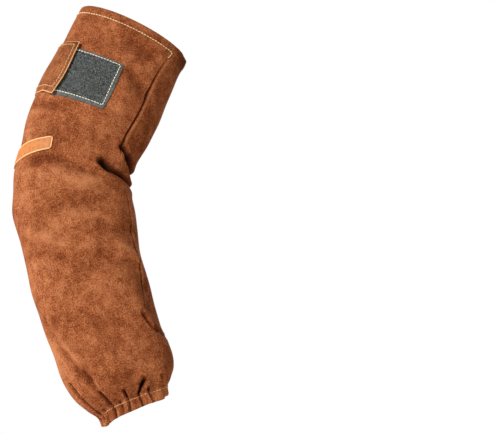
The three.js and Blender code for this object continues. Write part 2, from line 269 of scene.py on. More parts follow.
# Seen from the side, the whole is turned so that the cuff is straight below the arm opening
LEAN = np.arctan2(-SPINE[-1, 1], -SPINE[-1, 2])
UPRIGHT = np.array([(1, 0, 0), (0, np.cos(LEAN), -np.sin(LEAN)), (0, np.sin(LEAN), np.cos(LEAN))])


def section(along):
    """The section's middle, its two directions and its two half widths at each place along the sleeve."""
    slope = np.radians(column("slope", along))
    back = np.radians(column("back", along))
    cuff = np.minimum(column("cuff", along), 1)
    places = np.linspace(0, 1, len(SPINE))
    centre = np.stack([np.interp(along, places, SPINE[:, axis]) for axis in range(3)], -1)
    across = np.stack([np.cos(slope), np.zeros_like(slope), -np.sin(slope)], -1)
    front = np.stack([np.sin(slope) * np.sin(back), -np.cos(back), np.cos(slope) * np.sin(back)], -1)
    half_width = ((1 - cuff) * column("width", along) * ARM_WIDTH + cuff * CUFF_WIDTH) / 2
    half_depth = ((1 - cuff) * column("depth", along) * ARM_DEPTH + cuff * CUFF_DEPTH) / 2
    return centre, across, front, half_width, half_depth


def perimeter(along):
    """The section's length round: pi times the sum of its half widths, and a little more for an ellipse."""
    half_width, half_depth = section(along)[3:]
    uneven = (half_width - half_depth) / (half_width + half_depth)
    return np.pi * (half_width + half_depth) * (1 + uneven * uneven / 4)


def away_from(line, along, around, girth):
    """Distance on the unrolled leather to the nearest stretch of a line of places."""
    nearest = np.full(np.broadcast(along, around).shape, np.inf)
    for (along_from, around_from), (along_to, around_to) in zip(line, line[1:]):
        run_along = (along_to - along_from) * SLEEVE_LENGTH
        run_around = (around_to - around_from) * girth
        off_along = (along - along_from) * SLEEVE_LENGTH
        turns = around - around_from
        off_around = (turns - np.round(turns)) * girth
        on = np.clip((off_along * run_along + off_around * run_around) / (run_along**2 + run_around**2), 0, 1)
        nearest = np.minimum(nearest, np.hypot(off_along - on * run_along, off_around - on * run_around))
    return nearest


def fold_sum(along, around):
    """The folds' depths at a place in shares of FOLD_DEPTH, each a bell curve of the distance to its line
    less a wider bell for its lips, then the painted shade of the deep ones and the painted highlight of the
    ridges, each by a like bell."""
    girth = perimeter(along)
    depth = np.zeros(np.broadcast(along, around).shape)
    dark = np.zeros(depth.shape)
    painted_highlight = np.zeros(depth.shape)
    for _, width, deep, lip, line in FOLDS:
        away = away_from(line, along, around, girth) / (width * FOLD_WIDTH)
        depth += deep * ((1 + lip) * bell(away, 1) - lip * bell(away, 2.2))
        # Painted shade in the middle of the deep folds and painted highlight along the ridges
        close = bell(away * 1.05, 1)
        dark += max(deep - 0.2, 0) * close
        painted_highlight += max(-deep, 0) * close
    return depth, dark, painted_highlight


def gather_wave(along, around):
    """The cuff's gathers, from 0 on a crest to 1 in a valley: a wave round the cuff with broad crests and
    narrow valleys, of uneven depth, that grows towards the elastic."""
    from_edge = (1 - along) * SLEEVE_LENGTH
    drawn = smooth_step((GATHER_RISE - from_edge) / (GATHER_RISE - CASING_DEPTH))
    sway = 0.008 * np.sin(2 * np.pi * (3 * around + 4 * along))
    wave = 0.5 + 0.5 * np.cos(2 * np.pi * GATHER_COUNT * (around + sway - GATHER_START))
    uneven = 0.72 + 0.28 * np.sin(2 * np.pi * (5 * around + 0.2))
    return drawn * uneven * wave**2.5


def slack(along, around):
    """The soft unevenness of worn leather: seeded waves that close round the sleeve, weakest at the rim."""
    draw = np.random.default_rng(7)
    height = np.zeros(np.broadcast(along, around).shape)
    for _ in range(SLACK_WAVES):
        turns = draw.integers(-6, 7)
        waves = draw.uniform(3, 11)
        phase = draw.uniform(0, 1)
        height += np.sin(2 * np.pi * (turns * around + waves * along + phase))
    calm = smooth_step(along / 0.06)
    return SLACK_DEPTH * height * calm


def seam_at(along):
    """The seam's place round the sleeve and how open its line is, straight between the rows of its table."""
    return [np.interp(along, SEAM[:, 0], SEAM[:, SEAM_COLUMNS.index(name)]) for name in ("around", "open")]


def seam_offset(along, around):
    """How far a place is from the seam, measured round the leather, under 0 on the inner panel."""
    turns = around - seam_at(along)[0]
    return (turns - np.round(turns)) * perimeter(along)


def seam_press(along, around):
    """The lapped seam: the outer panel goes under the inner panel's edge, from where it comes up again over
    30 mm, with a narrow crack where the two meet and a lip along the upper one's edge."""
    off = seam_offset(along, around)
    under = SEAM_STEP * smooth_step(off / (1.2 * MM)) * smooth_step((34 * MM - off) / (30 * MM))
    crack = SEAM_CRACK * bell(off - 0.6 * MM, 1.1 * MM)
    lip = SEAM_LIP * bell(off + 2.6 * MM, 2.4 * MM)
    return (under + crack - lip) * seam_at(along)[1]


def pressed_in(along, around):
    """All that presses the leather in, in metres."""
    folds = FOLD_DEPTH * fold_sum(along, around)[0]
    gathers = GATHER_DEPTH * gather_wave(along, around)
    return folds + gathers + seam_press(along, around) + slack(along, around)


def painted_shading(along, around):
    """Painted shade on the nap: in the middle of folds and gathers, in the seam's crack, on the inner panel
    that turns from the light, above the gathers over the front of the wrist and at the rim's inner end."""
    # Painted shade in the middle of the deep folds
    folds = np.clip(fold_sum(along, around)[1], 0, 1.0)
    # Painted shade above the gathers, over the front of the wrist
    wrist_shade = 0.24 * bell(along - 0.89, 0.07) * bell(around - 0.24, 0.12)
    # Painted shade in the gathers' valleys
    gathers = gather_wave(along, around) ** 3 * 0.2
    # Painted shade at the rim's inner end, where it turns from the light
    turns = around - np.round(around)
    rim = 0.5 * bell(turns - 0.02, 0.04) * (1 - smooth_step((along - 0.015) / 0.05))
    # Painted shade in the seam's crack and over the inner panel, which turns from the light
    off = seam_offset(along, around)
    line = bell(off - 0.6 * MM, 1.3 * MM) * seam_at(along)[1] * 0.95
    panel = smooth_step(-off / (3 * MM)) * smooth_step((off + 70 * MM) / (30 * MM)) * 0.14
    return np.clip(folds + gathers + line + panel + wrist_shade + rim, 0, 0.98)


def painted_highlights(along, around):
    """Painted highlight on the nap: along the ridges, along the upper edge of the seam, over the casing and
    along the outer edge over the wrist."""
    lip = bell(seam_offset(along, around) + 3 * MM, 2 * MM) * seam_at(along)[1]
    casing = 0.5 * smooth_step((along - 0.968) / 0.008)
    outer = bell(along - 0.82, 0.08) * bell(around - 0.48, 0.06)
    return np.clip(fold_sum(along, around)[2] + 0.7 * lip + casing + outer, 0, 1)


def drooped(along, around):
    """How far the cuff hangs down at its outer corner and a little at its inner front: bell curves round the
    cuff that grow over its last eighth."""
    turns = around - DROOP_AROUND
    corner = bell(turns - np.round(turns), 0.06)
    front = bell(around - 0.06, 0.07)
    return (DROOP * corner + FRONT_DROOP * front) * smooth_step((along - 0.88) / 0.12)


def leather_point(along, around, lift):
    """A point of the leather: round an ellipse at equal steps of length, lifted along the section's own
    outward direction, less what is pressed in there, and let down where the cuff droops."""
    along, around, lift = np.broadcast_arrays(along, around, lift)
    centre, across, front, half_width, half_depth = section(along)
    uneven = (half_width - half_depth) / (half_width + half_depth)
    angle = 2 * np.pi * around + uneven / 2 * np.sin(4 * np.pi * around)
    cos = np.cos(angle)[..., None]
    sin = np.sin(angle)[..., None]
    half_width = half_width[..., None]
    half_depth = half_depth[..., None]
    outward = across * cos / half_width + front * sin / half_depth
    outward /= np.linalg.norm(outward, axis=-1, keepdims=True)
    height = (lift - pressed_in(along, around))[..., None]
    down = (SPINE[-1] - SPINE[-2]) / np.linalg.norm(SPINE[-1] - SPINE[-2])
    place = centre + across * half_width * cos + front * half_depth * sin + outward * height
    place = place + down * drooped(along, around)[..., None]
    return place @ UPRIGHT.T


def surface(name, points, attributes, wrap=False):
    """A mesh of quads over a grid of points, rows by columns, closed round its columns where wrap is set."""
    rows, columns = points.shape[:2]
    index = np.arange(rows * columns).reshape(rows, columns)
    if wrap:
        index = np.hstack([index, index[:, :1]])
    quads = np.stack([index[:-1, :-1], index[:-1, 1:], index[1:, 1:], index[1:, :-1]], -1).reshape(-1, 4)
    return mesh_piece(name, points.reshape(-1, 3), quads.tolist(), attributes)


def mesh_piece(name, points, faces, attributes=None):
    """A smooth-shaded object at the origin, with its place in its mesh and a number stored at each point."""
    mesh = bpy.data.meshes.new(name)
    mesh.from_pydata(points.tolist(), [], faces)
    mesh.polygons.foreach_set("use_smooth", np.ones(len(mesh.polygons), bool))
    for key, values in (attributes or {}).items():
        numbers = mesh.attributes.new(key, "FLOAT", "POINT")
        numbers.data.foreach_set("value", values.astype(np.float32).ravel())
    mesh.update()
    piece = bpy.data.objects.new(name, mesh)
    bpy.context.scene.collection.objects.link(piece)
    return piece


def thicken(piece, thickness, offset, bevel):
    """Gives a sheet its thickness, with its cut edge in the second material, and rounds that edge."""
    wall = piece.modifiers.new("thickness", "SOLIDIFY")
    wall.thickness = thickness
    wall.offset = offset
    wall.material_offset_rim = 1
    wall.use_even_offset = False
    if bevel:
        edge = piece.modifiers.new("edge", "BEVEL")
        edge.width = bevel
        edge.segments = 2
        edge.limit_method = "ANGLE"
        edge.angle_limit = np.radians(50)


def settle(piece, materials, replaced=()):
    """Gives the piece its materials, its place on the body and the nodes that it stands for."""
    for material in materials:
        piece.data.materials.append(material)
    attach(piece, BODY)
    if replaced:
        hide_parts(*replaced)
    return piece


def laid_on(below_rim, from_inner, length, reach, turn=0):
    """Maps shares down and round a rectangle, turned by turn degrees, to a place on the leather."""
    upright, aslant = np.cos(np.radians(turn)), np.sin(np.radians(turn))

    def place(down, round_):
        along = (below_rim + down * length * upright + round_ * reach * aslant) / SLEEVE_LENGTH
        return along, (from_inner + round_ * reach * upright - down * length * aslant) / perimeter(along)

    return place


def shares(length, step, fine):
    """Shares from 0 to 1 along a length: fine steps within 3 mm of each end and wider ones between."""
    border = 3 * MM
    end = np.arange(0, border, fine)
    middle = np.linspace(border, length - border, round((length - 2 * border) / step) + 1)
    return np.concatenate([end, middle, length - end[::-1]]) / length


def piece_grid(length, reach, step, fine):
    """Shares down and round a piece, finer near its edges, and each place's distance to the nearest edge."""
    down, round_ = np.meshgrid(shares(length, step, fine), shares(reach, step, fine), indexing="ij")
    inside = np.minimum.reduce([down * length, (1 - down) * length, round_ * reach, (1 - round_) * reach])
    return down, round_, inside


def rectangle_path(length, reach, insets, bow=0.0):
    """Lines of places just inside a rectangle's top, outer, bottom and inner edges, as shares down and round
    it, each with its own inset. The inner one bows by half a sine wave."""
    top, outer, bottom, inner = insets
    high = top / length
    low = 1 - bottom / length
    near = inner / reach
    far = 1 - outer / reach
    corners = np.array([(high, near), (high, far), (low, far), (low, near), (high, near)])
    share = np.linspace(0, 1, 160)[:, None]
    lines = [start * (1 - share) + end * share for start, end in zip(corners, corners[1:])]
    lines[-1][:, 1:] += bow / reach * np.sin(np.pi * share)
    return lines


def linear(hex_colour):
    """An sRGB hex colour as linear red, green and blue."""
    values = np.array([int(hex_colour[i:i + 2], 16) / 255 for i in (1, 3, 5)])
    return tuple(np.where(values <= 0.04045, values / 12.92, ((values + 0.055) / 1.055) ** 2.4).tolist())


def shader(name, **sockets):
    """A new material, its node tree and its Principled shader with the given constants on its own sockets."""
    material = bpy.data.materials.new(name)
    material.use_nodes = True
    tree = material.node_tree
    principled = tree.nodes["Principled BSDF"]
    for key, value in sockets.items():
        principled.inputs[key.replace("_", " ")].default_value = value
    return material, tree, principled


def add(tree, kind, links=None, values=None, **settings):
    """Adds one node: settings are its properties, values its sockets' constants, links what feeds sockets."""
    node = tree.nodes.new(kind)
    for key, value in settings.items():
        setattr(node, key, value)
    for key, value in (values or {}).items():
        node.inputs[key].default_value = value
    for key, source in (links or {}).items():
        tree.links.new(source, node.inputs[key])
    return node


def ramp(tree, factor, stops):
    """A colour ramp over a factor, its stops given as place and linear colour."""
    node = add(tree, "ShaderNodeValToRGB", {"Fac": factor})
    elements = node.color_ramp.elements
    while len(elements) < len(stops):
        elements.new(0.5)
    for element, (place, colour) in zip(elements, stops):
        element.position = place
        element.color = (*colour, 1)
    return node.outputs["Color"]


def noise(tree, where, size, detail, roughness=0.5):
    """Noise with blots about size wide."""
    values = {"Scale": 1 / size, "Detail": detail, "Roughness": roughness}
    return add(tree, "ShaderNodeTexNoise", {"Vector": where}, values).outputs["Fac"]


def stored(tree, name):
    """A number stored at the mesh's points."""
    return add(tree, "ShaderNodeAttribute", attribute_name=name).outputs["Fac"]


def blend(tree, share, first, second):
    """Two numbers mixed, the second by its share."""
    return add(tree, "ShaderNodeMix", {"A": first, "B": second}, {"Factor": share}).outputs["Result"]


def shifted(tree, number, by, much):
    """A number plus much times another one."""
    return add(tree, "ShaderNodeMath", {0: by, 2: number}, {1: much}, operation="MULTIPLY_ADD").outputs[0]


def tinted(tree, mask, colour, hex_colour):
    """A colour that turns to a second one where the mask is 1."""
    links = {"Factor": mask, "A": colour}
    values = {"B": (*linear(hex_colour), 1)}
    return add(tree, "ShaderNodeMix", links, values, data_type="RGBA").outputs["Result"]


def connect(tree, principled, colour, height=None, strength=0, distance=0):
    """Links the colour to the shader, and a bump of the height where there is one."""
    tree.links.new(colour, principled.inputs["Base Color"])
    if height:
        bump = add(tree, "ShaderNodeBump", {"Height": height}, {"Strength": strength, "Distance": distance})
        tree.links.new(bump.outputs["Normal"], principled.inputs["Normal"])


def suede(name, base, dark, light, nap=1.0):
    """Split cowhide, ground to a nap: matt, mottled in soft patches where the nap lies another way, with fine
    light and dark fibres, with painted shade in the folds and painted highlights along the ridges, and pale
    along a frayed cut edge."""
    material, tree, principled = shader(
        name, Roughness=0.95, Specular_IOR_Level=0.1, Sheen_Weight=0.14, Sheen_Roughness=0.5)
    principled.inputs["Sheen Tint"].default_value = (*linear("#e09a68"), 1)
    where = add(tree, "ShaderNodeTexCoord").outputs["Object"]
    # Nap patches 45 mm wide, mottling 12 mm wide and tufts of fibres 1.7 mm wide: finer ones would not show
    patches = noise(tree, where, 45 * MM, 3.0, 0.55)
    mottle = noise(tree, where, 12 * MM, 4.0, 0.6)
    fibres = noise(tree, where, 1.7 * MM, 2.0, 0.7)
    nap_and_light = blend(tree, 0.52, blend(tree, 0.55, patches, mottle), fibres)
    # Painted highlight and painted shade from the stored marks, the shade nearly black in a deep fold
    painted_shade = stored(tree, "painted_shade")
    nap_and_light = shifted(tree, nap_and_light, stored(tree, "painted_highlight"), 0.108)
    nap_and_light = shifted(tree, nap_and_light, painted_shade, -0.145)
    colour = ramp(tree, nap_and_light, [(0.4, dark), (0.5, base), (0.6, light)])
    # The painted shade, squared, tints the deepest folds nearly black
    depth = add(tree, "ShaderNodeMath", {0: painted_shade}, {1: 2.0}, operation="POWER").outputs[0]
    colour = tinted(tree, depth, colour, "#220802")
    colour = tinted(tree, stored(tree, "raw"), colour, "#f2bd85")
    connect(tree, principled, colour, blend(tree, 0.6, mottle, fibres), 0.42 * nap, 1.1 * MM)
    return material


def cut_edge(name, light, dark):
    """The raw cut edge of the leather: paler than the nap, mottled by its loose fibres."""
    material, tree, principled = shader(name, Roughness=0.85, Specular_IOR_Level=0.25)
    where = add(tree, "ShaderNodeTexCoord").outputs["Object"]
    # Mottling 2 mm wide
    colour = ramp(tree, noise(tree, where, 2 * MM, 4.0), [(0.35, dark), (0.6, light)])
    connect(tree, principled, colour)
    return material


class SleeveLeatherSettings(bpy.types.PropertyGroup):
    """Sizes and colours of the split cowhide."""

    thickness: bpy.props.FloatProperty(
        name="Thickness", description="Thickness of the leather", default=LEATHER, unit="LENGTH")
    base: bpy.props.FloatVectorProperty(
        name="Nap", description="Colour of the nap", default=linear("#985632"), subtype="COLOR")
    dark: bpy.props.FloatVectorProperty(
        name="Nap, lying away", description="Where it lies away", default=linear("#672f16"), subtype="COLOR")
    light: bpy.props.FloatVectorProperty(
        name="Nap, brushed up", description="Where it stands up", default=linear("#ba7850"), subtype="COLOR")
    edge: bpy.props.FloatVectorProperty(
        name="Cut edge", description="Colour of the cut edge", default=linear("#e0a878"), subtype="COLOR")


class SleeveTrimSettings(bpy.types.PropertyGroup):
    """Sizes and colours of the patch, the label and the thread."""

    stitch_pitch: bpy.props.FloatProperty(
        name="Stitch pitch", description="From one stitch to the next", default=4.4 * MM, unit="LENGTH")
    thread: bpy.props.FloatProperty(
        name="Thread", description="Diameter of the thread", default=1.3 * MM, unit="LENGTH")
    thread_colour: bpy.props.FloatVectorProperty(
        name="Thread colour", description="Colour of the thread", default=linear("#ffe3b0"), subtype="COLOR")
    pile: bpy.props.FloatVectorProperty(
        name="Pile", description="Colour of the pile", default=linear("#3c4040"), subtype="COLOR")
    selvedge: bpy.props.FloatVectorProperty(
        name="Selvedge", description="The patch's woven edge", default=linear("#64696a"), subtype="COLOR")
    label: bpy.props.FloatVectorProperty(
        name="Label", description="Colour of the label", default=linear("#cc8345"), subtype="COLOR")


def leather_materials(settings):
    """The nap and its cut edge, made once and shared."""
    made = bpy.data.materials.get("split_cowhide_napped")
    if made:
        return made, bpy.data.materials["split_cowhide_cut_edge"]
    nap = suede("split_cowhide_napped", settings.base, settings.dark, settings.light)
    return nap, cut_edge("split_cowhide_cut_edge", settings.edge, settings.base)


class SLEEVE_OT_leather(bpy.types.Operator):
    """Makes the sleeve of one sheet of leather, turned in at the arm opening and at the cuff"""

    bl_idname = "sleeve.leather"
    bl_label = "Sleeve leather"

    def execute(self, context):
        settings = context.scene.sleeve_leather
        # Columns follow the seam, 0.5 mm apart beside it and 2 mm apart elsewhere. Rows are closest over the
        # elbow and the cuff
        near_seam = 0.012
        beside = np.linspace(-near_seam, near_seam, 21)
        round_ = np.concatenate([beside, np.linspace(near_seam, 1 - near_seam, 197)[1:-1]])
        inner = -2 * settings.thickness - CLEARANCE
        turn = np.linspace(0, np.pi, 6)[1:-1]
        radius = -inner / 2
        outside = np.concatenate([
            np.linspace(RIM_TURN, 0.3, 44), np.linspace(0.3, 0.46, 54)[1:], np.linspace(0.46, 0.88, 46)[1:],
            np.linspace(0.88, CUFF_TURN, 52)[1:]])
        rim_bulge = 1.6
        cuff_bulge = 1.2
        rim = RIM_TURN - np.sin(turn) * radius / SLEEVE_LENGTH * rim_bulge
        hem = np.linspace(RIM_TURN, RIM_TURN + HEM_DEPTH / SLEEVE_LENGTH, 4)
        cuff = CUFF_TURN + np.sin(turn) * radius / SLEEVE_LENGTH * cuff_bulge
        casing = np.linspace(CUFF_TURN, CUFF_TURN - CASING_DEPTH / SLEEVE_LENGTH, 5)
        along = np.concatenate([hem[::-1], rim, outside, cuff, casing])
        fold_lift = -radius * (1 - np.cos(turn))
        lift = np.concatenate([
            np.full(len(hem), inner), fold_lift[::-1], np.zeros(len(outside)), fold_lift,
            np.full(len(casing), inner)])
        along = along[:, None]
        around = seam_at(along)[0] + round_[None, :]
        points = leather_point(along, around, lift[:, None])
        # The painted shade and painted highlight that the nap's colour takes at each point
        marks = {"painted_shade": painted_shading(along, around), "painted_highlight": painted_highlights(along, around)}
        piece = surface("sleeve_leather", points, marks, wrap=True)
        thicken(piece, settings.thickness, -1, 0)
        settle(piece, leather_materials(settings), ("sleeve_body", "arm_hem", "cuff_turn"))
        return {"FINISHED"}


def inside_stitches(down, round_):
    """How far a place on the patch is inside its stitches, whose inner side bows by half a sine wave."""
    top, outer, bottom, inner = PATCH_INSETS
    bowed = inner + PATCH_BOW * np.sin(np.pi * down)
    return np.minimum.reduce([
        down * PATCH_LENGTH - top, (1 - down) * PATCH_LENGTH - bottom, round_ * PATCH_WIDTH - bowed,
        (1 - round_) * PATCH_WIDTH - outer])


def loop_ends(place):
    """Both feet of every loop of the pile and its way up: a grid over the patch, each place shaken by a
    seeded draw and each loop turned its own way, kept where it is inside the stitches."""
    draw = np.random.default_rng(11)
    rows = np.arange(LOOP_PITCH, PATCH_LENGTH, LOOP_PITCH)
    columns = np.arange(LOOP_PITCH, PATCH_WIDTH, LOOP_PITCH)
    down, round_ = np.meshgrid(rows, columns, indexing="ij")
    down = (down + draw.uniform(-0.4, 0.4, down.shape) * LOOP_PITCH) / PATCH_LENGTH
    round_ = (round_ + draw.uniform(-0.4, 0.4, down.shape) * LOOP_PITCH) / PATCH_WIDTH
    turn = draw.uniform(0, np.pi, down.shape)
    clear_of_stitches = 0.9 * MM
    kept = inside_stitches(down, round_) > clear_of_stitches
    down, round_, turn = down[kept], round_[kept], turn[kept]
    step_down = LOOP_REACH * np.sin(turn) / PATCH_LENGTH
    step_round = LOOP_REACH * np.cos(turn) / PATCH_WIDTH
    lift = CLEARANCE + CLOTH_THICKNESS
    first = leather_point(*place(down - step_down, round_ - step_round), lift)
    along, around = place(down + step_down, round_ + step_round)
    second = leather_point(along, around, lift)
    return first, second, leather_point(along, around, lift + 2 * MM) - second


class SLEEVE_OT_patch(bpy.types.Operator):
    """Makes the loop patch with its woven edge and its pile of small loops"""

    bl_idname = "sleeve.patch"
    bl_label = "Loop patch"

    def execute(self, context):
        settings = context.scene.sleeve_trim
        place = laid_on(PATCH_BELOW_RIM, PATCH_FROM_INNER, PATCH_LENGTH, PATCH_WIDTH)
        down, round_ = piece_grid(PATCH_LENGTH, PATCH_WIDTH, 1.6 * MM, 0.5 * MM)[:2]
        along, around = place(down, round_)
        pile = smooth_step((inside_stitches(down, round_) + 0.8 * MM) / (1.2 * MM))
        points = leather_point(along, around, CLEARANCE)
        piece = surface("loop_fastener", points, {"pile": pile})
        thicken(piece, CLOTH_THICKNESS, 1, 0.3 * MM)
        material, tree, principled = shader("brushed_loop_nylon", Roughness=0.9, Specular_IOR_Level=0.3)
        where = add(tree, "ShaderNodeTexCoord").outputs["Object"]
        # Cells of 1.6 mm between the loops' feet, in tufts of 4 mm
        cells = add(tree, "ShaderNodeTexVoronoi", {"Vector": where}, {"Scale": 1 / (1.6 * MM)})
        tufts = noise(tree, where, 4 * MM, 4.0)
        height = blend(tree, 0.5, cells.outputs["Distance"], tufts)
        # The pile's charcoal, darkened nearly to black in the low cells as painted shade between the loops,
        # and lighter where the tufts stand high
        pile_colour = ramp(tree, height, [
            (0.3, linear("#1c1f1f")), (0.5, settings.pile), (0.68, linear("#6a7070"))])
        edge_colour = ramp(tree, tufts, [(0.3, linear("#4a4e4e")), (0.6, settings.selvedge)])
        links = {"Factor": stored(tree, "pile"), "A": edge_colour, "B": pile_colour}
        colour = add(tree, "ShaderNodeMix", links, data_type="RGBA").outputs["Result"]
        connect(tree, principled, colour, height, 0.8, MM)
        settle(piece, (material, material), ("loop_patch",))
        loops = stitch_mesh("loop_pile", *loop_ends(place), YARN, LOOP_RISE)
        yarn = thread_material("nylon_yarn_charcoal", linear("#a3a9a9"), fleck=0.22, grain=2.4 * MM)
        settle(loops, (yarn,))
        return {"FINISHED"}


def strap_place(down, round_):
    """A place on the strap: its free end covers the outer part of the patch and swings back by 1.5 mm at its
    top and 4.5 mm at its lower corner, which hangs 5.5 mm down, and its upper edge droops where it goes round
    the arm."""
    free_end = PATCH_FROM_INNER + PATCH_WIDTH - STRAP_OVER_PATCH
    from_end = round_ * STRAP_REACH
    loose = 1 - smooth_step(from_end / (40 * MM))
    swing = (3 * MM * smooth_step((down - 0.3) / 0.7) + 1.5 * MM) * loose
    turned = smooth_step(from_end / (22 * MM))
    droop = 2.4 * MM * turned * (1 - down) + MM * down * (5.5 - 3.2 * turned)
    top = PATCH_BELOW_RIM - STRAP_ABOVE_PATCH
    along = (top + down * STRAP_LENGTH + droop) / SLEEVE_LENGTH
    return along, (free_end + from_end + swing) / perimeter(along)


def strap_lift(down, round_):
    """Height of the strap over the leather: over the patch and the hook tape at its free end, curled up, most
    at the lower corner, and down on the leather behind."""
    over_tape = 3 * CLEARANCE + PATCH_THICKNESS + HOOK_THICKNESS
    from_end = round_ * STRAP_REACH
    settled = smooth_step((from_end - STRAP_OVER_PATCH) / STRAP_OVER_PATCH)
    curl = STRAP_LIFT * (1 - smooth_step(from_end / STRAP_OVER_PATCH)) * (0.6 + 0.6 * down**2)
    return over_tape * (1 - settled) + CLEARANCE * settled + curl


class SLEEVE_OT_strap(bpy.types.Operator):
    """Makes the leather strap that closes over the patch"""

    bl_idname = "sleeve.strap"
    bl_label = "Strap"

    def execute(self, context):
        settings = context.scene.sleeve_leather
        down, round_, inside = piece_grid(STRAP_LENGTH, STRAP_REACH, 1.6 * MM, 0.4 * MM)
        along, around = strap_place(down, round_)
        rolled = 0.5 * MM * (1 - smooth_step(inside / (4 * MM)))
        sewn = 0.5 * MM * bell(inside - 5 * MM, 1.2 * MM)
        points = leather_point(along, around, strap_lift(down, round_) - rolled - sewn)
        raw = 1 - smooth_step((inside - 0.5 * MM) / (0.8 * MM))
        # The strap's painted shade is zero everywhere
        piece = surface("strap_tab", points, {"painted_shade": np.zeros(raw.shape), "raw": raw})
        thicken(piece, STRAP_THICKNESS, 1, 0.35 * MM)
        nap = suede("strap_cowhide_napped", linear("#8a4e2d"), linear("#63331a"), linear("#ad7148"), 0.8)
        settle(piece, (nap, leather_materials(settings)[1]), ("strap",))
        return {"FINISHED"}


def label_grid(rows, columns):
    """Shares down and round the label, with each row drawn in at its ends so that the corners are round."""
    radius = 4 * MM
    down, round_ = np.meshgrid(np.linspace(0, 1, rows), np.linspace(0, 1, columns), indexing="ij")
    from_side = np.minimum(down, 1 - down) * LABEL_LENGTH
    near = np.clip(radius - from_side, 0, radius)
    inset = (radius - np.sqrt(radius**2 - near**2)) / LABEL_REACH
    return down, inset + round_ * (1 - 2 * inset)


class SLEEVE_OT_label(bpy.types.Operator):
    """Makes the small bare label at the outer elbow"""

    bl_idname = "sleeve.label"
    bl_label = "Label"

    def execute(self, context):
        settings = context.scene.sleeve_trim
        down, round_ = label_grid(40, 110)
        place = laid_on(LABEL_BELOW_RIM, LABEL_FROM_INNER, LABEL_LENGTH, LABEL_REACH, LABEL_TURN)
        along, around = place(down, round_)
        side = np.minimum(down, 1 - down) * LABEL_LENGTH
        end = np.minimum(round_, 1 - round_) * LABEL_REACH
        inside = np.minimum(side, end)
        rim = 1 - smooth_step((inside - 0.8 * MM) / (0.8 * MM))
        groove = bell(inside - 2 * MM, 0.5 * MM)
        points = leather_point(along, around, CLEARANCE - 0.25 * MM * groove)
        piece = surface("label_tag", points, {"rim": rim, "groove": groove})
        thicken(piece, LABEL_THICKNESS, 1, 0.3 * MM)
        material, tree, principled = shader("tan_label_leather", Roughness=0.6, Specular_IOR_Level=0.4)
        where = add(tree, "ShaderNodeTexCoord").outputs["Object"]
        # Grain in blots 4 mm wide, with fine ones in them
        grain = noise(tree, where, 4 * MM, 6.0)
        colour = ramp(tree, grain, [(0.35, linear("#bf6f37")), (0.6, settings.label)])
        colour = tinted(tree, stored(tree, "groove"), colour, "#b9632c")
        colour = tinted(tree, stored(tree, "rim"), colour, "#eebd80")
        connect(tree, principled, colour, grain, 0.3, 0.5 * MM)
        settle(piece, (material, material), ("label",))
        return {"FINISHED"}


def stitch_line(path, pitch):
    """Both ends of each stitch at equal steps along a line of points, of which the stitches fill a share."""
    filled = 0.97
    steps = np.linalg.norm(np.diff(path, axis=0), axis=1)
    length = np.concatenate([[0], np.cumsum(steps)])
    count = max(2, round(length[-1] / pitch))
    middle = (np.arange(count) + 0.5) * length[-1] / count
    half = length[-1] / count * filled / 2
    return [np.stack([np.interp(place, length, path[:, axis]) for axis in range(3)], -1)
            for place in (middle - half, middle + half)]


def stitch_mesh(name, starts, ends, outward, diameter, rise=None):
    """Thread going from start to end of each stitch or loop: rings of six points round a line that arches by
    its rise as a parabola, widest in its middle, closed by a point at each end."""
    rise = rise or 0.75 * diameter
    rings, sides = 5, 6
    share = np.linspace(-1, 1, rings + 2)[1:-1]
    direction = ends - starts
    reach = np.linalg.norm(direction, axis=1, keepdims=True)
    direction = direction / reach
    side = np.cross(outward, direction)
    side /= np.linalg.norm(side, axis=1, keepdims=True)
    up = np.cross(direction, side)
    angle = np.arange(sides) * 2 * np.pi / sides
    radius = diameter / 2 * np.sqrt(1 - share**4)
    middle = (starts + ends) / 2
    sunk = 0.33 * diameter
    arch = rise * (1 - share**2) - sunk
    line = middle[:, None] + direction[:, None] * (reach / 2)[:, None] * share[None, :, None]
    line = line + up[:, None] * arch[None, :, None]
    ring = (side[:, None, None] * np.cos(angle)[None, None, :, None]
            + up[:, None, None] * np.sin(angle)[None, None, :, None]) * radius[None, :, None, None]
    body = (line[:, :, None] + ring).reshape(len(starts), rings * sides, 3)
    tips = np.stack([starts - up * diameter * 0.4, ends - up * diameter * 0.4], 1)
    points = np.concatenate([body, tips], 1)
    quads = []
    triangles = []
    last = (rings - 1) * sides
    for here in range(sides):
        beside = (here + 1) % sides
        quads += [(row + here, row + beside, row + sides + beside, row + sides + here)
                  for row in range(0, last, sides)]
        triangles.append((last + sides, beside, here))
        triangles.append((last + sides + 1, last + here, last + beside))
    each = points.shape[1]
    offset = (np.arange(len(starts)) * each)[:, None, None]
    faces = []
    for part in (quads, triangles):
        faces += (np.array(part) + offset).reshape(-1, len(part[0])).tolist()
    return mesh_piece(name, points.reshape(-1, 3), faces)


def thread_material(name, colour, fleck=0.8, grain=1.2 * MM):
    """Twisted thread or yarn: matt, down to a darker share of its colour where the twist turns away, in
    flecks as long as its grain in real millimetres."""
    material, tree, principled = shader(name, Roughness=0.7, Specular_IOR_Level=0.3)
    where = add(tree, "ShaderNodeTexCoord").outputs["Object"]
    twist = noise(tree, where, grain, 2.0)
    darker = tuple(channel * fleck for channel in colour)
    connect(tree, principled, ramp(tree, twist, [(0.38, darker), (0.62, tuple(colour))]))
    return material


def sew(name, lines, settings, material, diameter=None):
    """Sews lines of places (along, around, lift) as one piece of stitches."""
    starts = []
    ends = []
    outward = []
    for along, around, lift in lines:
        path = leather_point(along, around, lift)
        above = leather_point(along, around, lift + 2 * MM) - path
        first, second = stitch_line(path, settings.stitch_pitch)
        nearest = np.linspace(0, len(path) - 1, len(first)).round().astype(int)
        starts.append(first)
        ends.append(second)
        outward.append(above[nearest])
    stacked = [np.vstack(rows) for rows in (starts, ends, outward)]
    piece = stitch_mesh(name, *stacked, diameter or settings.thread)
    return settle(piece, (material,))


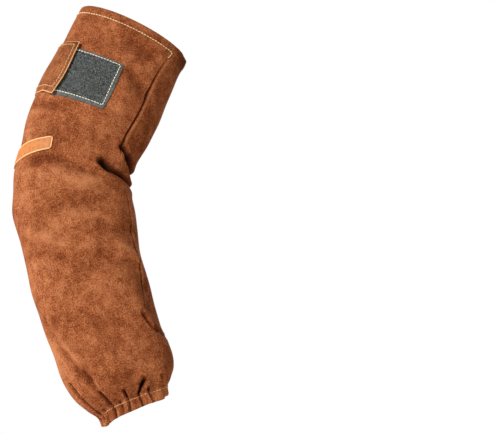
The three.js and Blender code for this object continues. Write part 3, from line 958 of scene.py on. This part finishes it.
class SLEEVE_OT_stitches(bpy.types.Operator):
    """Sews the hem, the cuff, the patch and the strap"""

    bl_idname = "sleeve.stitches"
    bl_label = "Stitches"

    def execute(self, context):
        settings = context.scene.sleeve_trim
        cream = thread_material("waxed_thread_undyed", settings.thread_colour)
        whole = np.linspace(0, 1, 900)
        seam_top = seam_at(0.03)[0]
        hem = HEM_DEPTH / SLEEVE_LENGTH
        # The hem's line starts beside the seam, which a short tack follows down, and ends on the inner panel
        beside = 0.006
        round_to = 0.865
        lift = 0.35 * MM
        tack_length = 11 * MM
        tack = hem + np.linspace(0, tack_length, 40) / SLEEVE_LENGTH
        lines = [(np.full_like(whole, hem), seam_top + beside + whole * round_to, lift),
                 (tack, seam_at(tack)[0] + beside, lift)]
        sew("hem_stitches", lines, settings, cream)
        # The cuff's line is four fifths of the casing up from the cuff's edge
        cuff = np.full_like(whole, 0.998 - 0.8 * CASING_DEPTH / SLEEVE_LENGTH)
        tan = thread_material("waxed_thread_tan", linear("#e6b684"))
        sew("cuff_stitches", [(cuff, whole, -0.15 * MM)], settings, tan)
        place = laid_on(PATCH_BELOW_RIM, PATCH_FROM_INNER, PATCH_LENGTH, PATCH_WIDTH)
        lines = [(*place(*line.T), CLEARANCE + CLOTH_THICKNESS)
                 for line in rectangle_path(PATCH_LENGTH, PATCH_WIDTH, PATCH_INSETS, PATCH_BOW)]
        white = thread_material("nylon_thread_white", linear("#fffae4"))
        sew("patch_stitches", lines, settings, white, diameter=1.35 * MM)
        lines = [(*strap_place(*line.T), strap_lift(*line.T) + STRAP_THICKNESS)
                 for line in rectangle_path(STRAP_LENGTH, STRAP_REACH, STRAP_INSETS)]
        sew("strap_stitches", lines, settings, tan)
        return {"FINISHED"}


class SLEEVE_OT_stage(bpy.types.Operator):
    """Sets the pale floor, the soft lights and the camera at the photograph's angle"""

    bl_idname = "sleeve.stage"
    bl_label = "Stage"

    def execute(self, context):
        scene = context.scene
        # The floor lies under the picture's lower edge and ends short of the two low lights
        reach = 1.3
        level = -1.5
        corners = np.array([(x * reach, y * reach, level) for x, y in ((-1, -1), (1, -1), (1, 1), (-1, 1))])
        floor = mesh_piece("floor", corners, [(0, 1, 2, 3)])
        paint = shader("matt_white_board", Roughness=0.9, Base_Color=(*linear("#f4f4f2"), 1))[0]
        floor.data.materials.append(paint)
        world = bpy.data.worlds.new("soft_white")
        scene.world = world
        world.use_nodes = True
        tree = world.node_tree
        tree.nodes.clear()
        seen = add(tree, "ShaderNodeLightPath").outputs["Is Camera Ray"]
        dim = add(tree, "ShaderNodeBackground", None, {"Color": (1, 0.9, 0.8, 1), "Strength": 0.1})
        bright = add(tree, "ShaderNodeBackground", None, {"Color": (1, 1, 1, 1), "Strength": 1.0})
        both = add(tree, "ShaderNodeMixShader", {"Fac": seen, 1: dim.outputs[0], 2: bright.outputs[0]})
        add(tree, "ShaderNodeOutputWorld", {"Surface": both.outputs[0]})
        middle = (CAD_BOX[0] + CAD_BOX[1]) / 2
        # Each light's name, place, width in metres, watts and colour
        for name, place, size, watts, tint in (
            ("key", (-1.5, -1.9, 1.3), 0.75, 76, (1, 1, 1)),
            ("fill", (1.3, -2.9, -1.0), 1.4, 39, (1, 0.86, 0.68)),
            ("side", (-2.3, 0.4, -0.7), 1.2, 50, (1, 0.95, 0.9)),
            ("back", (1.2, 2.6, 1.0), 1.6, 60, (1, 1, 1)),
        ):
            light = bpy.data.lights.new(name, "AREA")
            light.size = size
            light.energy = watts
            light.color = tint
            lamp = bpy.data.objects.new(name, light)
            lamp.location = UPRIGHT @ place
            lamp.rotation_euler = (middle - lamp.location).to_track_quat("-Z", "Y").to_euler()
            scene.collection.objects.link(lamp)
        camera = bpy.data.objects.new("camera", bpy.data.cameras.new("camera"))
        camera.data.lens = 200
        camera.location = UPRIGHT @ (0.161, -3.87, -0.256)
        camera.rotation_euler = (np.pi / 2 + LEAN, 0, 0)
        scene.collection.objects.link(camera)
        scene.camera = camera
        scene.view_settings.view_transform = "Standard"
        return {"FINISHED"}


class SLEEVE_PT_panel(bpy.types.Panel):
    """Lists the sleeve's pieces and settings"""

    bl_idname = "SLEEVE_PT_panel"
    bl_label = "Welding Sleeve"
    bl_space_type = "VIEW_3D"
    bl_region_type = "UI"
    bl_category = "Sleeve"

    def draw(self, context):
        for operator in OPERATORS:
            self.layout.operator(operator.bl_idname)
        for settings in (context.scene.sleeve_leather, context.scene.sleeve_trim):
            for key in settings.__annotations__:
                self.layout.prop(settings, key)


OPERATORS = (
    SLEEVE_OT_leather, SLEEVE_OT_patch, SLEEVE_OT_strap, SLEEVE_OT_label, SLEEVE_OT_stitches, SLEEVE_OT_stage)
CLASSES = (SleeveLeatherSettings, SleeveTrimSettings, *OPERATORS, SLEEVE_PT_panel)


def register():
    """Registers the settings, the operators and the panel."""
    for cls in CLASSES:
        bpy.utils.register_class(cls)
    bpy.types.Scene.sleeve_leather = bpy.props.PointerProperty(type=SleeveLeatherSettings)
    bpy.types.Scene.sleeve_trim = bpy.props.PointerProperty(type=SleeveTrimSettings)


def unregister():
    """Takes them out again, in the opposite order."""
    del bpy.types.Scene.sleeve_trim
    del bpy.types.Scene.sleeve_leather
    for cls in reversed(CLASSES):
        bpy.utils.unregister_class(cls)


def main():
    """Registers the operators and makes every piece in order."""
    register()
    bpy.ops.sleeve.leather()
    bpy.ops.sleeve.patch()
    bpy.ops.sleeve.strap()
    bpy.ops.sleeve.label()
    bpy.ops.sleeve.stitches()
    bpy.ops.sleeve.stage()


if __name__ == "__main__":
    main()
